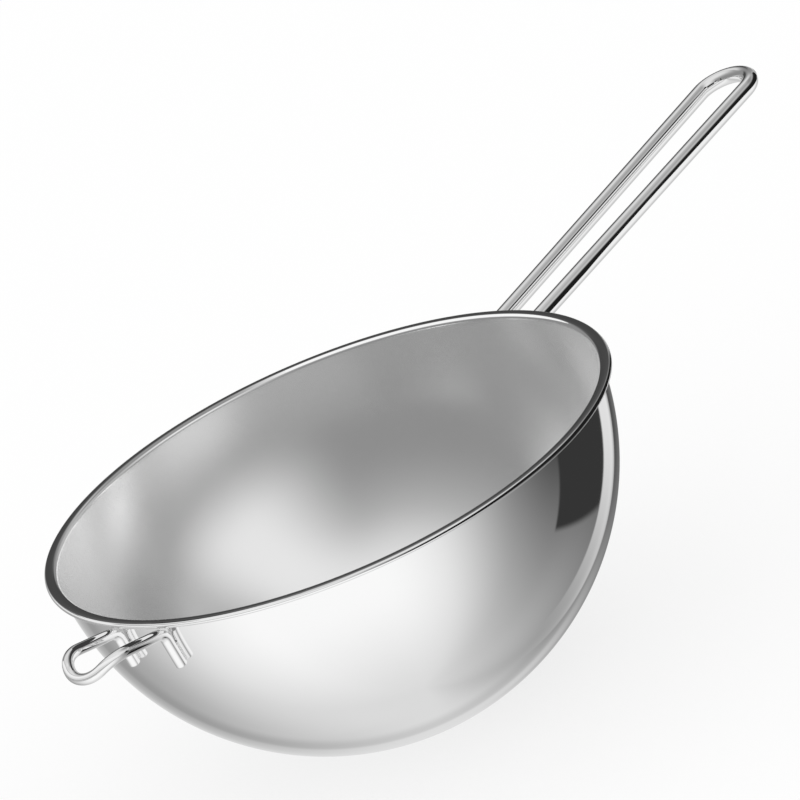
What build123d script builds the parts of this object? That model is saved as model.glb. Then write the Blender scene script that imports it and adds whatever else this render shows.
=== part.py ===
from build123d import *
import os
from math import acos, asin, cos, degrees, radians, sin, sqrt, tan

# A bain-marie pot: a half-round steel bowl that hangs in a larger pot of hot water.
# A hairpin of wire welded under its rim is the handle, and a small hairpin opposite is the hook.
# Millimetres, +Z up. The origin is the centre of the flat base.
# The handle points along +X and the hook along -X.

# Bowl
rim_diameter = 160.0
rim_width = 2.85
rim_inner_round = 1.2
rim_under_round = 0.4
wall = 0.7
base_diameter = 50.0
base_round = 5.0

# Wires on the bowl
seat_gap = 0.15
wire_end_round = 0.5

# Handle
handle_wire = 4.75
handle_bend = 6.0
handle_rise = 7.0
handle_splay = 0.7
handle_spread = 14.3
handle_reach = 119.7
handle_rim_gap = 2.8
handle_seat_depth = 15.0
handle_tail = 6.5

# Hook
hook_wire = 3.1
hook_bend = 3.1
hook_rise = 13.3
hook_spread = 17.6
hook_crown_spread = 18.5
hook_tip_spread = 7.3
hook_tip_run = 5.1
hook_tip_fall = 35.0
hook_reach = 21.0
hook_straight = 0.2
hook_rim_gap = 0.15
hook_seat_depth = 10.0
hook_tail = 3.5

# Welds between the wires' tails and the wall
handle_weld_length = 9.0
handle_weld_width = 2.2
hook_weld_length = 5.5
hook_weld_width = 1.6

# Sizes worked out from these. The rim is the sheet folded flat on itself, so it is two walls thick.
# Its top lies level with the centre of the bowl's half-round.
rim_radius = rim_diameter / 2
rim_thickness = 2 * wall
rim_edge_round = rim_thickness / 2
bowl_radius = rim_radius - rim_width
base_radius = base_diameter / 2
base_lean = degrees(asin(base_radius / (bowl_radius - base_round)))
rim_height = base_round + (bowl_radius - base_round) * cos(radians(base_lean))
bowl_centre = Vector(0, rim_height)
base_corner = Vector(base_radius, base_round)


def below(centre, radius, angle):
    """Point of a circle in a section, by its angle from straight down towards the outside."""
    return centre + Vector(sin(radians(angle)), -cos(radians(angle))) * radius


def heading(angle):
    """Unit direction in a section that rises outwards by the angle."""
    return Vector(cos(radians(angle)), sin(radians(angle)))


def seat(wire, offset, depth):
    """Centre of a wire's tail where it lies on the wall, at a depth below the rim's top, and its slope.

    The tail is a straight line in an upright plane that passes the bowl's axis at the offset.
    It follows the wall there, so its slope is the wall's angle from straight down.
    """
    reach = sqrt((bowl_radius + seat_gap + wire / 2) ** 2 - offset**2)
    slope = degrees(acos(depth / reach))
    return below(bowl_centre, reach, slope), slope


def tail_bend(wire, bend, offset, depth, rim_gap):
    """Centre of the bend between a wire's tail and its leg, clear of the rim's rounded edge by the gap.

    The bend's centre slides up beside the tail until the wire comes that close to the rim's edge.
    """
    contact, slope = seat(wire, offset, depth)
    upward = heading(slope)
    start = below(contact, bend, slope)
    edge = Vector(sqrt((rim_radius - rim_edge_round) ** 2 - offset**2), rim_height - rim_edge_round)
    away = start - edge
    along = away.dot(upward)
    clear = bend + wire / 2 + rim_gap + rim_edge_round
    return start + upward * (-along - sqrt(along**2 - away.dot(away) + clear**2))


def mirrored(point):
    """The same point on the other side of the XZ plane."""
    return Vector(point.X, -point.Y, point.Z)


os.makedirs("parts", exist_ok=True)

# Bowl: sheet pressed to a half-round, its edge turned out and folded flat on itself
with BuildPart() as bowl:
    with BuildSketch(Plane.XZ) as bowl_section:
        under_rim = degrees(acos(rim_thickness / bowl_radius))
        inner_radius = bowl_radius - wall
        under_corner = below(bowl_centre, bowl_radius, under_rim)
        inner_corner = below(bowl_centre, inner_radius, 90)
        edge_centre = Vector(rim_radius - rim_edge_round, rim_height - rim_edge_round)
        with BuildLine():
            Line((0, 0), (base_radius, 0))
            ThreePointArc(*[below(base_corner, base_round, base_lean * step / 2) for step in range(3)])
            ThreePointArc(
                below(bowl_centre, bowl_radius, base_lean),
                below(bowl_centre, bowl_radius, (base_lean + under_rim) / 2),
                under_corner,
            )
            Line(under_corner, below(edge_centre, rim_edge_round, 0))
            ThreePointArc(*[below(edge_centre, rim_edge_round, 90 * step) for step in range(3)])
            Line(below(edge_centre, rim_edge_round, 180), inner_corner)
            ThreePointArc(
                inner_corner,
                below(bowl_centre, inner_radius, (base_lean + 90) / 2),
                below(bowl_centre, inner_radius, base_lean),
            )
            inner_round = base_round - wall
            ThreePointArc(*[below(base_corner, inner_round, base_lean * step / 2) for step in (2, 1, 0)])
            Line((base_radius, wall), (0, wall))
            Line((0, wall), (0, 0))
        make_face()
        fillet(bowl_section.vertices().sort_by_distance(inner_corner)[0], rim_inner_round)
        fillet(bowl_section.vertices().sort_by_distance(under_corner)[0], rim_under_round)
    revolve(axis=Axis.Z)
bowl.part.label = "bowl"
export_step(bowl.part, "parts/bowl.step")

# Handle: each half lies in an upright plane turned outwards by the splay
handle_offset = handle_spread / 2 - rim_radius * sin(radians(handle_splay))
handle_side = Plane(
    origin=Vector(-sin(radians(handle_splay)), cos(radians(handle_splay)), 0) * handle_offset,
    x_dir=(cos(radians(handle_splay)), sin(radians(handle_splay)), 0),
    z_dir=(sin(radians(handle_splay)), -cos(radians(handle_splay)), 0),
)
handle_contact, handle_slope = seat(handle_wire, handle_offset, handle_seat_depth)
handle_elbow = tail_bend(handle_wire, handle_bend, handle_offset, handle_seat_depth, handle_rim_gap)
handle_turn = (handle_slope + handle_rise) / 2 + 90
tail_end = handle_side.from_local_coords(handle_contact - heading(handle_slope) * handle_tail)
tail_top = handle_side.from_local_coords(handle_elbow + heading(handle_slope + 90) * handle_bend)
tail_turn = handle_side.from_local_coords(handle_elbow + heading(handle_turn) * handle_bend)
leg_start = handle_side.from_local_coords(handle_elbow + heading(handle_rise + 90) * handle_bend)

# The legs run straight to a round end that touches both
leg_way = handle_side.x_dir * cos(radians(handle_rise)) + handle_side.y_dir * sin(radians(handle_rise))
middle_way = (leg_way + mirrored(leg_way)).normalized()
leg_splay = radians(leg_way.get_angle(middle_way))
end_stretch = (1 + sin(leg_splay)) / cos(leg_splay)
leg_run = (rim_radius + handle_reach - leg_start.X) / middle_way.X - end_stretch * leg_start.Y
leg_length = leg_run / (cos(leg_splay) + end_stretch * sin(leg_splay))
leg_end = leg_start + leg_way * leg_length
end_tip = Vector(leg_end.X, 0, leg_end.Z) + middle_way * leg_end.Y * end_stretch

with BuildPart() as handle:
    with BuildLine() as handle_path:
        Line(tail_end, tail_top)
        ThreePointArc(tail_top, tail_turn, leg_start)
        Line(leg_start, leg_end)
        mirror(about=Plane.XZ)
        ThreePointArc(leg_end, end_tip, mirrored(leg_end))
    with BuildSketch(Plane(origin=tail_end, z_dir=tail_top - tail_end)):
        Circle(handle_wire / 2)
    sweep(path=handle_path.wire())
    fillet(handle.edges().sort_by(Axis.Z)[:2], wire_end_round)
handle.part.label = "handle"
export_step(handle.part, "parts/handle.step")

# Hook: its line turns at a bend under the rim, at the crown and at the tip.
# The arcs at the crown and the tip make one round end that bends down, with a short straight between them.
hook_side = hook_spread / 2
hook_contact, hook_slope = seat(hook_wire, hook_side, hook_seat_depth)
hook_elbow = tail_bend(hook_wire, hook_bend, hook_side, hook_seat_depth, hook_rim_gap)
hook_half_turn = (hook_slope - hook_rise) / 2
hook_sink = hook_bend / cos(radians(hook_half_turn))
hook_tail_end = hook_contact - heading(hook_slope) * hook_tail
hook_corner = hook_elbow + heading(hook_rise + hook_half_turn + 90) * hook_sink
crown_x = rim_radius + hook_reach - hook_tip_run
crown_y = hook_corner.Y + (crown_x - hook_corner.X) * tan(radians(hook_rise))
tip_y = crown_y - hook_tip_run * tan(radians(hook_tip_fall))


def on_hook(point, side):
    """Place of a section point on the hook, which lies along -X, at a distance to its side."""
    return Vector(-point.X, side, point.Y)


hook_half = [
    on_hook(hook_tail_end, hook_side),
    on_hook(hook_corner, hook_side),
    on_hook(Vector(crown_x, crown_y), hook_crown_spread / 2),
    on_hook(Vector(rim_radius + hook_reach, tip_y), hook_tip_spread / 2),
]
hook_leg = hook_half[2] - hook_half[1]
hook_end = hook_half[3] - hook_half[2]
crown_turn = hook_leg.get_angle(hook_end)
tip_turn = hook_end.get_angle(Vector(0, -1, 0))
tip_run = (hook_tip_spread - hook_straight) / 2
crown_run = hook_end.length - tip_run - hook_straight
hook_rounds = [hook_bend, crown_run / tan(radians(crown_turn / 2)), tip_run / tan(radians(tip_turn / 2))]

with BuildPart() as hook:
    with BuildLine() as hook_path:
        hook_corners = hook_half + [mirrored(corner) for corner in reversed(hook_half)]
        FilletPolyline(*hook_corners, radius=hook_rounds + hook_rounds[::-1])
    with BuildSketch(Plane(origin=hook_path.wire() @ 0, z_dir=hook_path.wire() % 0)):
        Circle(hook_wire / 2)
    sweep(path=hook_path.wire())
    fillet(hook.edges().sort_by(Axis.Z)[:2], wire_end_round)
hook.part.label = "hook"
export_step(hook.part, "parts/hook.step")

# Welds: a bead between the wall and each wire's tail, halfway along where they touch
handle_tail_way = (tail_top - tail_end).normalized()
hook_tail_way = (hook_half[1] - hook_half[0]).normalized()
handle_touch = handle_side.from_local_coords(handle_contact)
hook_touch = on_hook(hook_contact, hook_side)
welded_wires = (
    (handle, handle_wire, handle_touch, handle_tail_way, handle_weld_length, handle_weld_width),
    (hook, hook_wire, hook_touch, hook_tail_way, hook_weld_length, hook_weld_width),
)
for bent, wire, touch, way, length, width in welded_wires:
    outward = (touch - Vector(0, 0, rim_height)).normalized()
    root = touch - outward * (wire / 2 + seat_gap + wall / 2)
    left = Plane(root, outward, way)
    right = Plane(mirrored(root), mirrored(outward), mirrored(way))
    for side, place in (("left", left), ("right", right)):
        with BuildPart() as weld:
            with BuildSketch(place):
                Rectangle(wall / 2 + seat_gap + wire / 2, width, align=(Align.MIN, Align.CENTER))
            extrude(amount=length / 2, both=True)
            add(bowl.part, mode=Mode.SUBTRACT)
            add(bent.part, mode=Mode.SUBTRACT)
        weld.part.label = f"{bent.part.label}_weld_{side}"
        export_step(weld.part, f"parts/{weld.part.label}.step")
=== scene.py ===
"""Looks of a bain-marie pot: a half-round steel bowl with a wire handle and a wire hook.

The bowl and the two wires are drawn again as smooth surfaces, because polished steel shows every facet.
Lengths are in metres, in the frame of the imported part: +Z up, the handle along +X, the hook along -X.
"""

from math import acos, asin, cos, degrees, pi, radians, sin, sqrt, tan

import bpy
import numpy as np
from mathutils import Matrix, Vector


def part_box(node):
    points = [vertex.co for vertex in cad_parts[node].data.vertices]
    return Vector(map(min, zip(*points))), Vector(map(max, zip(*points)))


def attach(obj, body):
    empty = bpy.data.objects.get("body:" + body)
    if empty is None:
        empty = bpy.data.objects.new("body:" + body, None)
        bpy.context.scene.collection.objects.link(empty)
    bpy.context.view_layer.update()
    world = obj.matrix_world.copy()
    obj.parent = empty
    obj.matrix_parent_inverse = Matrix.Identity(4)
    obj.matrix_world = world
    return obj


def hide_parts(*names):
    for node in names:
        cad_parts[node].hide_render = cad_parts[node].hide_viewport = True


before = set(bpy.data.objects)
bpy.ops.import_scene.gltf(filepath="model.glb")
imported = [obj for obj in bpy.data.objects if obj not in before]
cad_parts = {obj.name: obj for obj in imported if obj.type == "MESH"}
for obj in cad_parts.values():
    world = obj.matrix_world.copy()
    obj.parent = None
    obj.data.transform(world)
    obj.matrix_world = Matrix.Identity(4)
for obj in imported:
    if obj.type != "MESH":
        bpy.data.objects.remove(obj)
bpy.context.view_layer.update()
MM = 0.001

# Sizes of the bowl
bowl_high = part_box("bowl")[1]
rim_radius = bowl_high.x
rim_height = bowl_high.z
rim_width = 2.85 * MM
rim_inner_round = 1.2 * MM
rim_under_round = 0.4 * MM
wall = 0.7 * MM
base_radius = 25 * MM
base_round = 5 * MM
rim_thickness = 2 * wall
rim_edge_round = rim_thickness / 2
bowl_radius = rim_radius - rim_width
inner_radius = bowl_radius - wall
base_lean = degrees(asin(base_radius / (bowl_radius - base_round)))
bowl_centre = np.array([0, rim_height])

# Sizes of the wires. Rises, falls and the splay are in degrees
seat_gap = 0.15 * MM
wire_end_round = 0.5 * MM
handle_wire = 4.75 * MM
handle_bend = 6 * MM
handle_rise = 7.0
handle_splay = 0.7
handle_spread = 14.3 * MM
handle_reach = 119.7 * MM
handle_rim_gap = 2.8 * MM
handle_seat_depth = 15 * MM
handle_tail = 6.5 * MM
hook_wire = 3.1 * MM
hook_bend = 3.1 * MM
hook_rise = 13.3
hook_spread = 17.6 * MM
hook_crown_spread = 18.5 * MM
hook_tip_spread = 7.3 * MM
hook_tip_run = 5.1 * MM
hook_tip_fall = 35.0
hook_reach = 21.0 * MM
hook_straight = 0.2 * MM
hook_rim_gap = 0.15 * MM
hook_seat_depth = 10 * MM
hook_tail = 3.5 * MM

# The photograph's camera: it has the hook on its left, looks down at the rim and is rolled to its right
PHOTO_WIDTH = 800
SENSOR = 36
view_turn = radians(40.02)
view_down = radians(20.83)
view_roll = radians(-23.678)
view_pan = radians(0.8683)
view_tilt = radians(0.7471)
view_distance = 16 * rim_radius
pixels_per_rim_radius = 305.33


# Meshes
def surface(name, rows, finishes, bands=None):
    """Closed surface over a grid of rings: rows[i, j] is point j of ring i, and each ring closes on itself.

    The first and the last ring are drawn together to a point each, with a fan of triangles around it.
    finishes are its materials, and bands gives the material's number for each step from ring to ring.
    """
    count, around = rows.shape[:2]
    poles = rows[[0, -1]].mean(axis=1)
    points = np.concatenate([rows[1:-1].reshape(-1, 3), poles])
    ring, step = np.meshgrid(np.arange(count - 3), np.arange(around), indexing="ij")
    here = ring * around + step
    beside = ring * around + (step + 1) % around
    quads = np.stack([here, beside, beside + around, here + around], axis=-1).reshape(-1, 4)
    first = np.arange(around)
    last = first + (count - 3) * around
    start = np.stack([np.roll(first, -1), first, np.full(around, len(points) - 2)], axis=-1)
    end = np.stack([last, np.roll(last, -1), np.full(around, len(points) - 1)], axis=-1)
    mesh = bpy.data.meshes.new(name)
    mesh.from_pydata(points.tolist(), [], start.tolist() + quads.tolist() + end.tolist())
    mesh.polygons.foreach_set("use_smooth", np.ones(len(mesh.polygons), bool))
    for finish in finishes:
        mesh.materials.append(finish)
    if bands is not None:
        mesh.polygons.foreach_set("material_index", np.repeat(bands, around).astype(np.int32))
    piece = bpy.data.objects.new(name, mesh)
    bpy.context.scene.collection.objects.link(piece)
    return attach(piece, "root")


def arc(centre, radius, start, end, steps):
    """Points of a circle in a section, between two angles from straight down towards the outside."""
    angle = np.radians(np.linspace(start, end, steps + 1))
    return np.asarray(centre) + radius * np.stack([np.sin(angle), -np.cos(angle)], axis=-1)


def line(start, end, steps):
    """Evenly spaced points from start to end, the last one left out."""
    share = np.linspace(0, 1, steps, endpoint=False)[:, None]
    return np.asarray(start) + share * (np.asarray(end) - np.asarray(start))


def bowl_profile():
    """Section of the bowl as (radius, height), from the base's underside round the rim to the inside's middle.

    Also gives the number of its points up to the inner edge of the rim's flat, where the polish ends.
    """
    base_corner = np.array([base_radius, base_round])
    edge_centre = np.array([rim_radius - rim_edge_round, rim_height - rim_edge_round])
    under_fall = rim_thickness + rim_under_round
    under_angle = degrees(acos(under_fall / (bowl_radius + rim_under_round)))
    under_centre = arc(bowl_centre, bowl_radius + rim_under_round, under_angle, under_angle, 0)[0]
    inner_angle = degrees(acos(rim_inner_round / (inner_radius + rim_inner_round)))
    inner_centre = arc(bowl_centre, inner_radius + rim_inner_round, inner_angle, inner_angle, 0)[0]
    flat_steps, corner_steps, wall_steps = 16, 8, 90
    outside = [
        line((0, 0), (base_radius, 0), flat_steps),
        arc(base_corner, base_round, 0, base_lean, corner_steps)[:-1],
        arc(bowl_centre, bowl_radius, base_lean, under_angle, wall_steps),
        arc(under_centre, rim_under_round, under_angle - 180, -180, 6)[1:],
        arc(edge_centre, rim_edge_round, 0, 180, 20),
        arc(inner_centre, rim_inner_round, 180, inner_angle + 180, 10),
    ]
    inside = [
        arc(bowl_centre, inner_radius, inner_angle, base_lean, wall_steps)[1:],
        arc(base_corner, base_round - wall, base_lean, 0, corner_steps)[1:],
        line((base_radius, wall), (0, wall), flat_steps)[1:],
        [(0, wall)],
    ]
    return np.concatenate(outside + inside), sum(len(part) for part in outside)


def bowl_surface(polish, satin, around=320):
    """The bowl: its section carried round the Z axis, polished outside and on the rim, satin inside."""
    profile, polished = bowl_profile()
    turn = np.linspace(0, 2 * pi, around, endpoint=False)
    radius, height = profile[:, :1], profile[:, 1:]
    rows = np.stack([radius * np.cos(turn), radius * np.sin(turn), height + 0 * turn], axis=-1)
    bands = (np.arange(len(profile) - 1) >= polished - 1).astype(int)
    return surface("bowl_sheet", rows, [polish, satin], bands)


def rounded_path(corners, radii, spacing=0.35 * MM):
    """Line through the corners, each inner one rounded by an arc of its radius that touches both of its runs.

    An arc's centre lies from the corner along the middle of its two runs, at radius / cos(half the turn).
    Its points lie about the spacing apart. Points that fall together are merged, and long runs are divided.
    """
    same_place, longest_run = spacing / 100, 8 * spacing
    points = [corners[:1]]
    for before, corner, after, radius in zip(corners, corners[1:], corners[2:], radii):
        come = (corner - before) / np.linalg.norm(corner - before)
        leave = (after - corner) / np.linalg.norm(after - corner)
        half = acos(np.clip(come @ leave, -1, 1)) / 2
        inward = (leave - come) / (2 * sin(half))
        ahead = (leave + come) / (2 * cos(half))
        centre = corner + inward * radius / cos(half)
        angle = np.linspace(-half, half, int(2 * half * radius / spacing) + 2)[:, None]
        points.append(centre + radius * (np.sin(angle) * ahead - np.cos(angle) * inward))
    points = np.concatenate(points + [corners[-1:]])
    gaps = np.linalg.norm(np.diff(points, axis=0), axis=1)
    apart = np.concatenate([gaps > same_place, [True]])
    points = points[apart]
    gaps = np.linalg.norm(np.diff(points, axis=0), axis=1)
    runs = [line(a, b, int(gap / longest_run) + 1) for a, b, gap in zip(points, points[1:], gaps)]
    return np.concatenate(runs + [points[-1:]])


def tube(name, path, thickness, guide, finish, around=64, end_steps=6):
    """A round wire: a circle carried along the path, its plane square to the path, its ends slightly rounded.

    Each circle starts from the direction square to both the path and the guide.
    At an end the circle shrinks along a quarter round while it moves out, and the last ring closes to a point.
    """
    way = np.gradient(path, axis=0)
    way[0] = path[1] - path[0]
    way[-1] = path[-1] - path[-2]
    way /= np.linalg.norm(way, axis=1, keepdims=True)
    quarter = np.linspace(0, pi / 2, end_steps + 1)
    draw_in = np.concatenate([[thickness / 2], wire_end_round * (1 - np.sin(quarter))])
    draw_back = np.concatenate([[0], wire_end_round * (1 - np.cos(quarter))])
    inner = path[1:-1]
    start = path[:1] + way[:1] * draw_back[:, None]
    end = path[-1:] - way[-1:] * draw_back[::-1, None]
    centre = np.concatenate([start, inner, end])
    radius = thickness / 2 - np.concatenate([draw_in, np.zeros(len(inner)), draw_in[::-1]])
    ends = len(draw_in)
    way = np.concatenate([np.repeat(way[:1], ends, axis=0), way[1:-1], np.repeat(way[-1:], ends, axis=0)])
    side = np.cross(way, guide)
    side /= np.linalg.norm(side, axis=1, keepdims=True)
    over = np.cross(side, way)
    turn = np.linspace(0, 2 * pi, around, endpoint=False)[None, :, None]
    ring = np.cos(turn) * side[:, None] - np.sin(turn) * over[:, None]
    return surface(name, centre[:, None] + radius[:, None, None] * ring, [finish])


# Paths of the wires
def heading(angle):
    """Unit direction in a section that rises outwards by the angle."""
    return np.array([cos(radians(angle)), sin(radians(angle))])


def wire_section(thickness, bend, offset, depth, rim_gap, tail, rise):
    """End of a wire's tail and the corner between its tail and its leg, in a section at the offset.

    The tail follows the wall at the depth below the rim's top.
    The bend's centre slides up beside the tail until the wire comes as close to the rim's edge as the gap.
    """
    reach = sqrt((bowl_radius + seat_gap + thickness / 2) ** 2 - offset**2)
    slope = degrees(acos(depth / reach))
    contact = bowl_centre + reach * np.array([sin(radians(slope)), -cos(radians(slope))])
    start = contact + bend * np.array([sin(radians(slope)), -cos(radians(slope))])
    edge = np.array([sqrt((rim_radius - rim_edge_round) ** 2 - offset**2), rim_height - rim_edge_round])
    along = (start - edge) @ heading(slope)
    clear = bend + thickness / 2 + rim_gap + rim_edge_round
    apart = (start - edge) @ (start - edge)
    elbow = start + heading(slope) * (-along - sqrt(along**2 - apart + clear**2))
    turn = (slope - rise) / 2
    corner = elbow + heading(rise + turn + 90) * bend / cos(radians(turn))
    return contact - heading(slope) * tail, corner


def turn_at(before, corner, after):
    """Angle by which a line turns at a corner."""
    come, leave = corner - before, after - corner
    return acos(come @ leave / np.linalg.norm(come) / np.linalg.norm(leave))


def hairpin(half, radii):
    """Path of a wire from the corners of one half and their radii, with the other half as its mirror image."""
    corners = np.concatenate([half, half[::-1] * (1, -1, 1)])
    return rounded_path(corners, [*radii, *radii[::-1]])


def handle_path():
    """The handle's line: its two legs stand apart by the splay, and rise to the round end that joins them."""
    splay = radians(handle_splay)
    offset = handle_spread / 2 - rim_radius * sin(splay)
    tail_end, corner = wire_section(
        handle_wire, handle_bend, offset, handle_seat_depth, handle_rim_gap, handle_tail, handle_rise
    )
    tip = (rim_radius + handle_reach + offset * sin(splay)) / cos(splay)
    section = np.array([tail_end, corner, (tip, corner[1] + (tip - corner[0]) * tan(radians(handle_rise)))])
    out, height = section.T
    half = [out * cos(splay) - offset * sin(splay), out * sin(splay) + offset * cos(splay), height]
    half = np.stack(half, axis=-1)
    end_round = half[-1, 1] / tan(turn_at(half[-2], half[-1], half[-1] * (1, -1, 1)) / 2)
    return hairpin(half, [handle_bend, end_round])


def hook_path():
    """The hook's line: its legs rise to a crown, and its round end bends down from there to the tip.

    The arcs at the crown and the tip leave a short straight between them.
    """
    side = hook_spread / 2
    tail_end, corner = wire_section(
        hook_wire, hook_bend, side, hook_seat_depth, hook_rim_gap, hook_tail, hook_rise
    )
    tip_out = rim_radius + hook_reach
    crown_out = tip_out - hook_tip_run
    crown_height = corner[1] + (crown_out - corner[0]) * tan(radians(hook_rise))
    tip_height = crown_height - hook_tip_run * tan(radians(hook_tip_fall))
    half = np.array([
        (-tail_end[0], side, tail_end[1]),
        (-corner[0], side, corner[1]),
        (-crown_out, hook_crown_spread / 2, crown_height),
        (-tip_out, hook_tip_spread / 2, tip_height),
    ])
    tip_run = (hook_tip_spread - hook_straight) / 2
    crown_run = np.linalg.norm(half[3] - half[2]) - tip_run - hook_straight
    crown_round = crown_run / tan(turn_at(*half[1:]) / 2)
    tip_round = tip_run / tan(turn_at(half[2], half[3], half[3] * (1, -1, 1)) / 2)
    return hairpin(half, [hook_bend, crown_round, tip_round])


# Shader arithmetic
class Value:
    """A socket that takes part in arithmetic: each operator adds a Math node to its tree."""

    def __init__(self, tree, socket):
        self.tree = tree
        self.socket = socket

    def math(self, operation, *others):
        node = self.tree.nodes.new("ShaderNodeMath")
        node.operation = operation
        for slot, item in zip(node.inputs, (self, *others)):
            wire_up(self.tree, slot, item)
        return Value(self.tree, node.outputs[0])

    def __add__(self, other):
        return self.math("ADD", other)

    def __sub__(self, other):
        return self.math("SUBTRACT", other)

    def __mul__(self, other):
        return self.math("MULTIPLY", other)

    def __rsub__(self, other):
        return (self * -1) + other

    __radd__ = __add__
    __rmul__ = __mul__


def wire_up(tree, slot, item):
    """Gives an input its value: a link from a wrapped socket, or a plain number, colour or vector."""
    if isinstance(item, Value):
        tree.links.new(item.socket, slot)
    else:
        slot.default_value = item


class Shading:
    """A node tree that is written from its inputs to its output, one call for each node."""

    def __init__(self, owner):
        owner.use_nodes = True
        self.tree = owner.node_tree
        self.tree.nodes.clear()

    def node(self, kind, output, settings=None, sockets=None):
        """Adds a node of the kind with its settings and its sockets' values or links, and gives one output."""
        made = self.tree.nodes.new("ShaderNode" + kind)
        for key, setting in (settings or {}).items():
            setattr(made, key, setting)
        for key, item in (sockets or {}).items():
            wire_up(self.tree, made.inputs[key], item)
        return Value(self.tree, made.outputs[output]) if output is not None else None

    def step(self, value, low, high):
        """0 below low, 1 above high, and a smooth rise between them."""
        sockets = {"Value": value, "From Min": low, "From Max": high}
        return self.node("MapRange", "Result", {"interpolation_type": "SMOOTHSTEP"}, sockets)

    def fall(self, value, low, high):
        """1 below low, 0 above high, and a smooth fall between them."""
        return 1 - self.step(value, low, high)

    def band(self, value, start, full, fading, gone):
        """0 before start, 1 from full to fading and 0 after gone, with smooth ends."""
        return self.step(value, start, full) * self.fall(value, fading, gone)

    def span(self, value, low, high, soft):
        """1 between low and high and 0 outside, with ends that are soft to both sides."""
        return self.band(value, low - soft, low + soft, high - soft, high + soft)

    def dot(self, vector, direction):
        sockets = {0: vector, 1: direction}
        return self.node("VectorMath", "Value", {"operation": "DOT_PRODUCT"}, sockets)

    def noise(self, vector, scale, detail=2.0):
        return self.node("TexNoise", "Fac", None, {"Vector": vector, "Scale": scale, "Detail": detail})


# Finishes
def steel(name, tone, tone_range, rough, rough_range, grain_height=0):
    """Steel with a fine grain that runs round the bowl's axis, and a soft cloudiness in tone and gloss.

    A grain height above 0 makes the grain stand out as relief too.
    """
    cloud_scale, grain_across, grain_along = 60.0, 9000, 6
    material = bpy.data.materials.new(name)
    shade = Shading(material)
    place = shade.node("TexCoord", "Object")
    cloud = shade.noise(place, cloud_scale)
    x = shade.dot(place, (1, 0, 0))
    y = shade.dot(place, (0, 1, 0))
    z = shade.dot(place, (0, 0, 1))
    radius = (x * x + y * y).math("SQRT")
    across = (radius + z) * grain_across
    along = y.math("ARCTAN2", x) * grain_along
    lines = shade.node("CombineXYZ", 0, None, {"X": across, "Y": along})
    grain = shade.noise(lines, 1.0, 1.0)
    brightness = tone + (cloud - 0.5) * tone_range
    colour = shade.node("CombineColor", 0, None, {"Red": brightness, "Green": brightness, "Blue": brightness})
    gloss = rough + (grain - 0.5) * rough_range + (cloud - 0.5) * rough_range
    sockets = {"Base Color": colour, "Metallic": 1.0, "Roughness": gloss}
    if grain_height:
        relief = {"Strength": 1.0, "Distance": grain_height, "Height": grain}
        sockets["Normal"] = shade.node("Bump", "Normal", None, relief)
    shader = shade.node("BsdfPrincipled", "BSDF", None, sockets)
    shade.node("OutputMaterial", None, None, {"Surface": shader})
    return material


# Studio
WHITE = (1, 1, 1, 1)
FLAG_BLACK = 0.012
FLAG_GREY = 0.045
toward_camera = np.array([-sin(view_turn), -cos(view_turn), 0])
camera_right = np.array([cos(view_turn), -sin(view_turn), 0])
back_to_camera = toward_camera * cos(view_down) + np.array([0, 0, sin(view_down)])


def grey(light):
    """A colour with the same light in red, green and blue."""
    return (light, light, light, 1)


def level_parts(shade, vector):
    """A vector's parts towards the camera and to the camera's right, and its azimuth from the one to the other."""
    front = shade.dot(vector, toward_camera)
    side = shade.dot(vector, camera_right)
    return front, side, side.math("ARCTAN2", front) * degrees(1)


def level_ring(start, end, points):
    """Level unit directions at evenly spaced azimuths from start to end."""
    angle = np.radians(np.linspace(start, end, points))[:, None]
    return np.cos(angle) * toward_camera + np.sin(angle) * camera_right


def mirrored_past(shade, times):
    """1 where light is mirrored by the steel more often than that number of times in a row."""
    return shade.node("LightPath", "Glossy Depth").math("GREATER_THAN", times + 0.5)


def mirrored_once(shade):
    """1 where the steel mirrors a card without another mirror between."""
    return 1 - mirrored_past(shade, 1)


def nearer_than(shade, reach):
    """1 where the steel that mirrors a card is nearer to it than the reach."""
    return shade.node("LightPath", "Ray Length").math("LESS_THAN", reach)


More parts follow.
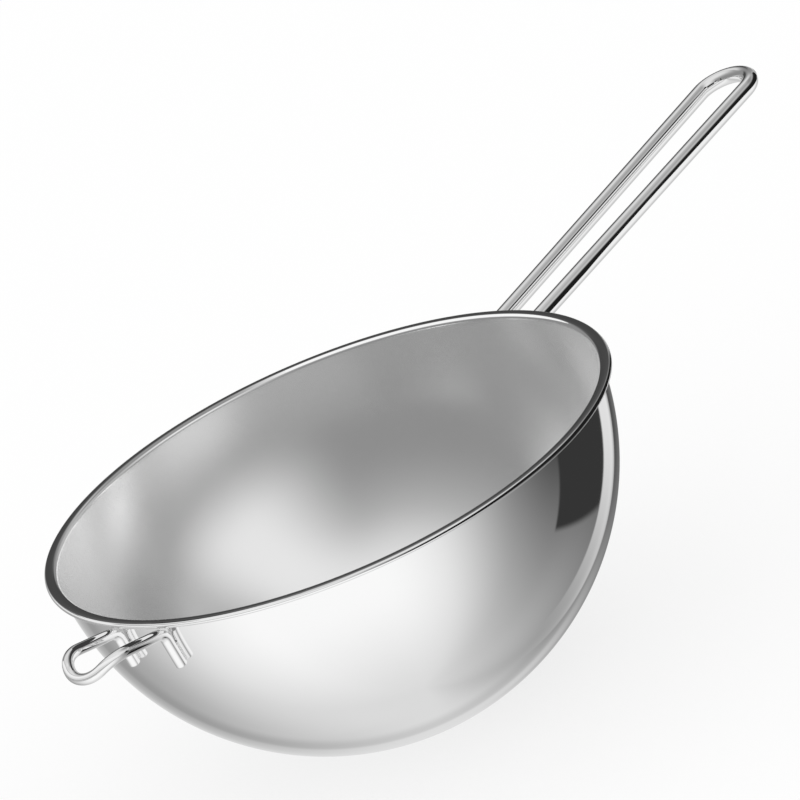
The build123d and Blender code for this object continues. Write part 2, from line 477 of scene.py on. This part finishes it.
def studio_world():
    """White surroundings with grey and dark panels that only the steel mirrors.

    A direction is told by its azimuth, from the camera's side to the camera's right, and by its elevation.
    """
    floor_grey, wall_grey, later_grey, ceiling_grey, panel_black = 0.75, 0.27, 0.34, 0.8, 0.037
    world = bpy.data.worlds.new("studio")
    bpy.context.scene.world = world
    shade = Shading(world)
    direction = shade.node("TexCoord", "Generated")
    azimuth = level_parts(shade, direction)[2]
    rise = shade.dot(direction, (0, 0, 1))
    elevation = rise.math("ARCSINE") * degrees(1)
    depth = elevation * -1
    level = (1 - rise * rise).math("SQRT")
    along_view = shade.dot(direction, -back_to_camera)

    # Below the horizon: a white floor, brightest in front, that falls away to grey on both sides
    glow = shade.band(azimuth, -104, -48, 26, 68) * shade.fall(depth, 30, 95)
    right_shade = level * shade.band(azimuth, 0, 97, 142, 181)
    left_shade = shade.band(azimuth, -180, -148, -136, -81) * shade.fall(depth, 30, 77)
    ring = shade.band(along_view, 0.72, 0.834, 0.855, 0.896)
    strip = shade.span(azimuth, 135.3, 153, 1.2) * shade.fall(depth, 20, 60)
    far_shade = shade.span(azimuth, 151, 175, 4) * shade.fall(depth, 25, 45)
    floor_light = (floor_grey + glow * 0.265) * (1 - right_shade * 0.984) * (1 - left_shade * 0.468)
    floor_light = (floor_light * (1 - ring * 0.178) + strip * 0.74) * (1 - far_shade * 0.7)

    # Above it, mirrored once: grey walls, a soft light in front to the right, and a dark flag at the back
    away = azimuth.math("ABSOLUTE")
    soft_light = shade.band(azimuth, -12, 45, 55, 110)
    left_wall = shade.span(azimuth, -140, 10, 40) * shade.step(elevation, 22, 70)
    handle_wall = shade.span(azimuth, 95, 145, 12) * shade.fall(elevation, 26, 42)
    back_light = shade.step(away, 128, 155) * shade.span(elevation, 37, 61, 9)
    back_flag = shade.step(away, 160, 170) * shade.fall(elevation, 20, 30)
    first_light = wall_grey + soft_light * (0.2 + shade.step(elevation, 5, 28) * 0.35)
    first_light = first_light + left_wall * 0.3 + handle_wall * 0.22
    first_light = (first_light + back_light * 0.46) * (1 - back_flag * 0.78)

    # Mirrored again and again, as the inside does: grey walls, with a soft light in front to the left
    again = mirrored_past(shade, 1)
    left_light = shade.span(azimuth, -118, 8, 24) * (0.04 + shade.step(elevation, 20, 33) * 0.29)
    low_light = shade.span(azimuth, -80, 60, 20) * shade.span(elevation, 8, 28, 6)
    right_wall = shade.span(azimuth, -45, 120, 15)
    later_light = later_grey - right_wall * 0.08 + shade.step(elevation, 18, 35) * 0.06
    later_light = later_light + left_light + mirrored_past(shade, 2) * low_light * 0.25
    ceiling = shade.step(elevation, 45, 75)
    room_light = first_light * (1 - again) + later_light * again
    room_light = room_light * (1 - ceiling) + ceiling * (ceiling_grey - again * 0.35)

    # Across the horizon on the handle's side: a black panel with a curved foot
    horizon = shade.step(elevation, -7, 0)
    light = floor_light * (1 - horizon) + room_light * horizon
    beyond = (azimuth - 97) * (1 / 37)
    panel_foot = 42.9 - beyond * beyond * 5.5
    panel = shade.span(azimuth, 93.3, 134.3, 1) * shade.fall(depth - panel_foot, -1, 1)
    panel = panel * shade.fall(elevation, -4, 4)
    light = light * (1 - panel) + panel * panel_black

    studio = shade.node("Background", 0, None, {"Color": light, "Strength": 1.0})
    white = shade.node("Background", 0, None, {"Color": WHITE, "Strength": 1.0})
    seen = shade.node("LightPath", "Is Camera Ray") + shade.node("LightPath", "Is Diffuse Ray")
    shown = shade.node("MixShader", 0, None, {0: seen, 1: studio, 2: white})
    shade.node("OutputWorld", None, None, {"Surface": shown})


def studio_floor():
    """A pale floor under the base: white to the camera, with the object's soft shadow left in it."""
    half, drop, glow_share = 3.0, 0.2 * MM, 0.75
    material = bpy.data.materials.new("floor_white")
    shade = Shading(material)
    paint = shade.node("BsdfDiffuse", 0, None, {"Color": WHITE})
    glow = shade.node("Emission", 0, None, {"Color": WHITE, "Strength": 1.0})
    seen = shade.node("LightPath", "Is Camera Ray")
    shown = shade.node("MixShader", 0, None, {0: seen * glow_share, 1: paint, 2: glow})
    shade.node("OutputMaterial", None, None, {"Surface": shown})
    mesh = bpy.data.meshes.new("floor")
    corners = [(-half, -half, -drop), (half, -half, -drop), (half, half, -drop), (-half, half, -drop)]
    mesh.from_pydata(corners, [], [(0, 1, 2, 3)])
    mesh.materials.append(material)
    floor = bpy.data.objects.new("floor", mesh)
    floor.visible_glossy = False
    bpy.context.scene.collection.objects.link(floor)


def studio_card(name, low_edge, high_edge, paint):
    """A card between two edges, rows of as many points, that only steel mirrors.

    paint is a function that gives the card's light and its cover, which is 0 where it can't be seen.
    """
    material = bpy.data.materials.new(name)
    shade = Shading(material)
    light, cover = paint(shade)
    lit = shade.node("Emission", 0, None, {"Color": light, "Strength": 1.0})
    clear = shade.node("BsdfTransparent", 0)
    shown = shade.node("MixShader", 0, None, {0: cover, 1: clear, 2: lit})
    shade.node("OutputMaterial", None, None, {"Surface": shown})
    count = len(low_edge)
    here = np.arange(count - 1)
    faces = np.stack([here, here + 1, here + 1 + count, here + count], axis=-1)
    mesh = bpy.data.meshes.new(name)
    mesh.from_pydata(np.concatenate([low_edge, high_edge]).tolist(), [], faces.tolist())
    mesh.materials.append(material)
    card = bpy.data.objects.new(name, mesh)
    card.visible_camera = False
    card.visible_diffuse = False
    card.visible_shadow = False
    bpy.context.scene.collection.objects.link(card)


def card_round_bowl(name, radius, start, end, low, high, paint):
    """An upright card bent round the bowl's axis, between two azimuths and two heights above the rim's top.

    paint also gets the azimuth and the height of the place that is painted.
    """
    ring = radius * level_ring(start, end, points=73)

    def paint_round(shade):
        place = shade.node("TexCoord", "Object")
        azimuth = level_parts(shade, place)[2]
        return paint(shade, azimuth, shade.dot(place, (0, 0, 1)) - rim_height)

    studio_card(name, ring + [0, 0, rim_height + low], ring + [0, 0, rim_height + high], paint_round)


def inside_screen():
    """A screen in front of the bowl for the inside's repeated images: pale to the right and grey to the left.

    It is low where light is mirrored twice, and taller on the left where it is mirrored more often.
    """

    def paint(shade, azimuth, height):
        pale = shade.band(azimuth, -8, 25, 42, 115)
        spot = shade.span(azimuth, 22, 46, 8) * shade.fall(height, 18 * MM, 32 * MM)
        bounced = mirrored_past(shade, 3) * shade.fall(azimuth, -42, -25)
        light = 0.27 + pale * 0.72 + spot * 0.7 + bounced * 0.34
        low = shade.fall(height, 11 * MM, 38 * MM) * mirrored_past(shade, 1)
        tall = shade.fall(height, 33 * MM, 48 * MM) * mirrored_past(shade, 2) * shade.fall(azimuth, -25, -5)
        ends = shade.fall(azimuth.math("ABSOLUTE"), 105, 125)
        return light, low.math("MAXIMUM", tall) * ends

    card_round_bowl("screen_inside", 106 * MM, -126, 126, 0, 48 * MM, paint)


def front_card():
    """A white card in front to the left, with a thin grey line low down, for the hook and the rim's edge."""

    def paint(shade, azimuth, height):
        line_down = shade.span(height, 2 * MM, 6 * MM, 1.5 * MM)
        light = 0.72 + shade.step(height, 12 * MM, 28 * MM) * 0.2 - line_down * 0.45
        ends = shade.band(azimuth, -128, -112, -14, 6)
        return light, ends * mirrored_once(shade) * nearer_than(shade, 90 * MM)

    card_round_bowl("card_front", 125 * MM, -128, 6, -1 * MM, 85 * MM, paint)


def rim_card():
    """A black card to the right of the bowl, taller towards the handle, which only the rim mirrors."""

    def paint(shade, azimuth, height):
        top = 15 * MM + shade.step(azimuth, -4, 76) * (90 * MM)
        ends = shade.band(azimuth, -4, 13, 106, 113)
        cover = ends * shade.fall(height - top, -4 * MM, 4 * MM)
        return grey(FLAG_BLACK), cover * mirrored_once(shade) * nearer_than(shade, 118 * MM)

    card_round_bowl("card_rim", 110 * MM, -4, 114, -12.5 * MM, 110 * MM, paint)


def rim_ring():
    """A ring just over the rim, which only the rim's edges mirror: white, and grey behind on the left.

    It is narrower over the hook, whose legs look past it.
    """
    inner, outer, lift = 72 * MM, 86 * MM, [0, 0, rim_height + 7 * MM]
    out = level_ring(-180, 180, points=145)

    def paint(shade):
        front, side, azimuth = level_parts(shade, shade.node("TexCoord", "Object"))
        radius = (front * front + side * side).math("SQRT")
        hook_gap = shade.span(azimuth, -62, -38, 2) * shade.step(radius, 77 * MM, 78 * MM)
        front_left = shade.span(azimuth, -95, -12, 10)
        right_back = shade.step(azimuth, 92, 108)
        left_back = shade.fall(azimuth, -142, -124)
        light = 0.3 + (right_back + shade.fall(azimuth, -184, -166)) * 0.7 + front_left * 0.55
        cover = right_back + front_left * (1 - hook_gap) + left_back
        return light, cover * mirrored_once(shade) * nearer_than(shade, 15 * MM)

    studio_card("ring_white", out * inner + lift, out * outer + lift, paint)


handle_slope = tan(radians(handle_rise))
handle_foot = rim_height - rim_radius * handle_slope


def over_handle(plan, lift):
    """Points of a plan in x and y, at a height over a line that rises from the rim's edge as the handle does."""
    return np.column_stack([plan, handle_foot + plan[:, 0] * handle_slope + lift])


def white_plate():
    """A white plate under the handle, with a painted shadow of each leg on it: a grey line below the leg.

    On the right it is cut away beside the rim, less and less along the handle, and round the handle's end.
    """
    drop, soft = 13 * MM, 1 * MM
    widening, end_curve = 0.66, 10

    def paint(shade):
        place = shade.node("TexCoord", "Object")
        x, y = shade.dot(place, (1, 0, 0)), shade.dot(place, (0, 1, 0))
        leg = handle_spread / 2 + (x - rim_radius) * sin(radians(handle_splay))
        aside = (y.math("ABSOLUTE") - leg).math("ABSOLUTE")
        # Painted shadow of the legs: the plate is greyer right below each leg
        light = 0.6 + shade.step(aside, 1 * MM, 8 * MM) * 0.33
        rim_cut = -22 * MM - (x - 116 * MM).math("MAXIMUM", 0) * widening
        end_cut = shade.step(x + y * y * end_curve - 219 * MM, -soft, soft) * shade.fall(y, 14 * MM, 18 * MM)
        cover = shade.step(y - rim_cut, -soft, soft) * (1 - end_cut)
        return light, cover * mirrored_once(shade)

    right = np.array([(92, -130), (300, -130)]) * MM
    left = np.array([(92, 45), (300, 45)]) * MM
    studio_card("plate_white", over_handle(right, -drop), over_handle(left, -drop), paint)


def black_card():
    """A card beside the handle and round its end, deeper at the rim.

    It is black for the near leg and fades out upwards. For the far leg it is white with a black band along its top.
    A leg is told by how far from the card it lies. A ray's run across the handle is a share of its length,
    and that run squared, less the height on the card squared, is the level distance squared.
    """
    plan = [(116, -62), (144, -62), (182, -62), (208, -62), (228, -62)]
    plan = np.array(plan + [(258, -50), (280, -31), (293, 0), (295, 14)]) * MM
    drop = np.array([-41, -37, -12, -18, -28, -32, -34, -35, -35]) * MM
    top, legs_below, across_share, far_leg = 56 * MM, 4.6 * MM, 0.833, 60 * MM

    def paint(shade):
        place = shade.node("TexCoord", "Object")
        x = shade.dot(place, (1, 0, 0))
        height = shade.dot(place, (-handle_slope, 0, 1)) - (handle_foot - legs_below)
        across = shade.node("LightPath", "Ray Length") * across_share
        far = (across * across - height * height).math("GREATER_THAN", far_leg**2)
        far = far * shade.fall(x, 240 * MM, 250 * MM)
        light = FLAG_BLACK + far * shade.fall(height, 20 * MM, 29 * MM) * 0.88
        near_cover = shade.fall(height, 21 * MM, 50 * MM)
        far_cover = shade.fall(height, 46 * MM, 60 * MM) * shade.step(x, 130 * MM, 142 * MM)
        cover = near_cover * (1 - far) + far_cover * far
        return light, cover * mirrored_once(shade) * nearer_than(shade, 115 * MM)

    studio_card("card_black", over_handle(plan, drop), over_handle(plan, top), paint)


def hook_cards():
    """Two dark cards that only the hook mirrors: one upright over the bowl, and a strip low down in front."""

    def paint_over(shade):
        return grey(FLAG_GREY), mirrored_once(shade) * nearer_than(shade, 62 * MM)

    def paint_floor(shade):
        far = shade.node("LightPath", "Ray Length").math("GREATER_THAN", 85 * MM)
        return grey(FLAG_BLACK), far * mirrored_once(shade) * nearer_than(shade, 158 * MM)

    plan = np.array([(-55, -36), (-55, -26), (-55, -19), (-55, -5), (-55, 26)]) * MM
    low = rim_height + np.array([8, 11, 12, 14, 17]) * MM
    high = rim_height + np.array([20, 26, 30, 38, 40]) * MM
    studio_card("card_over_bowl", np.column_stack([plan, low]), np.column_stack([plan, high]), paint_over)

    middle = np.array([(-60, -24, 5), (-53, -49, 5), (-39, -75, 5), (-6, -124, 5)]) * MM
    half_width = np.array([0.85, 0.53, 0]) * 13 * MM
    studio_card("card_on_floor", middle - half_width, middle + half_width, paint_floor)


def photo_camera():
    """The photograph's camera, aimed past the rim's middle by the pan and the tilt."""
    up = np.cross(back_to_camera, camera_right)
    right = cos(view_roll) * camera_right + sin(view_roll) * up
    up = np.cross(back_to_camera, right)
    ahead = tan(view_pan) * right + tan(view_tilt) * up - back_to_camera
    ahead /= np.linalg.norm(ahead)
    right -= ahead * (right @ ahead)
    right /= np.linalg.norm(right)
    up = np.cross(right, ahead)
    aim = np.array([0, 0, rim_height - rim_edge_round])
    data = bpy.data.cameras.new("camera")
    data.sensor_width = SENSOR
    data.lens = SENSOR * pixels_per_rim_radius * view_distance / rim_radius / PHOTO_WIDTH
    data.clip_start, data.clip_end = 0.05, 20
    camera = bpy.data.objects.new("camera", data)
    turned = Matrix((right, up, -ahead)).transposed().to_4x4()
    camera.matrix_world = Matrix.Translation(aim + view_distance * back_to_camera) @ turned
    bpy.context.scene.collection.objects.link(camera)
    bpy.context.scene.camera = camera


# Pieces
polish = steel("mirror_steel", tone=0.93, tone_range=0.02, rough=0.04, rough_range=0.03)
satin = steel(
    "satin_steel", tone=0.975, tone_range=0.02, rough=0.2, rough_range=0.04, grain_height=0.0002 * MM
)
wire_polish = steel("polished_wire", tone=0.93, tone_range=0.02, rough=0.035, rough_range=0.02)
weld_metal = steel(
    "weld_metal", tone=0.9, tone_range=0.06, rough=0.45, rough_range=0.1, grain_height=0.02 * MM
)

bowl = bowl_surface(polish, satin)
handle = tube("handle_wire", handle_path(), handle_wire, (-1, 0, 1), wire_polish)
hook = tube("hook_wire", hook_path(), hook_wire, (1, 0, 1), wire_polish)
drawn_again = (
    (bowl, "bowl", "bowl_steel"),
    (handle, "handle", "wire_steel"),
    (hook, "hook", "wire_steel"),
)
for piece, node, slot in drawn_again:
    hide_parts(node)
for name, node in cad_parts.items():
    if "weld" in name:
        node.data.materials.clear()
        node.data.materials.append(weld_metal)

studio_world()
studio_floor()
inside_screen()
front_card()
rim_card()
rim_ring()
white_plate()
black_card()
hook_cards()
photo_camera()
bpy.context.scene.view_settings.view_transform = "Standard"

# The inside mirrors itself many times
bpy.context.scene.cycles.glossy_bounces = 12
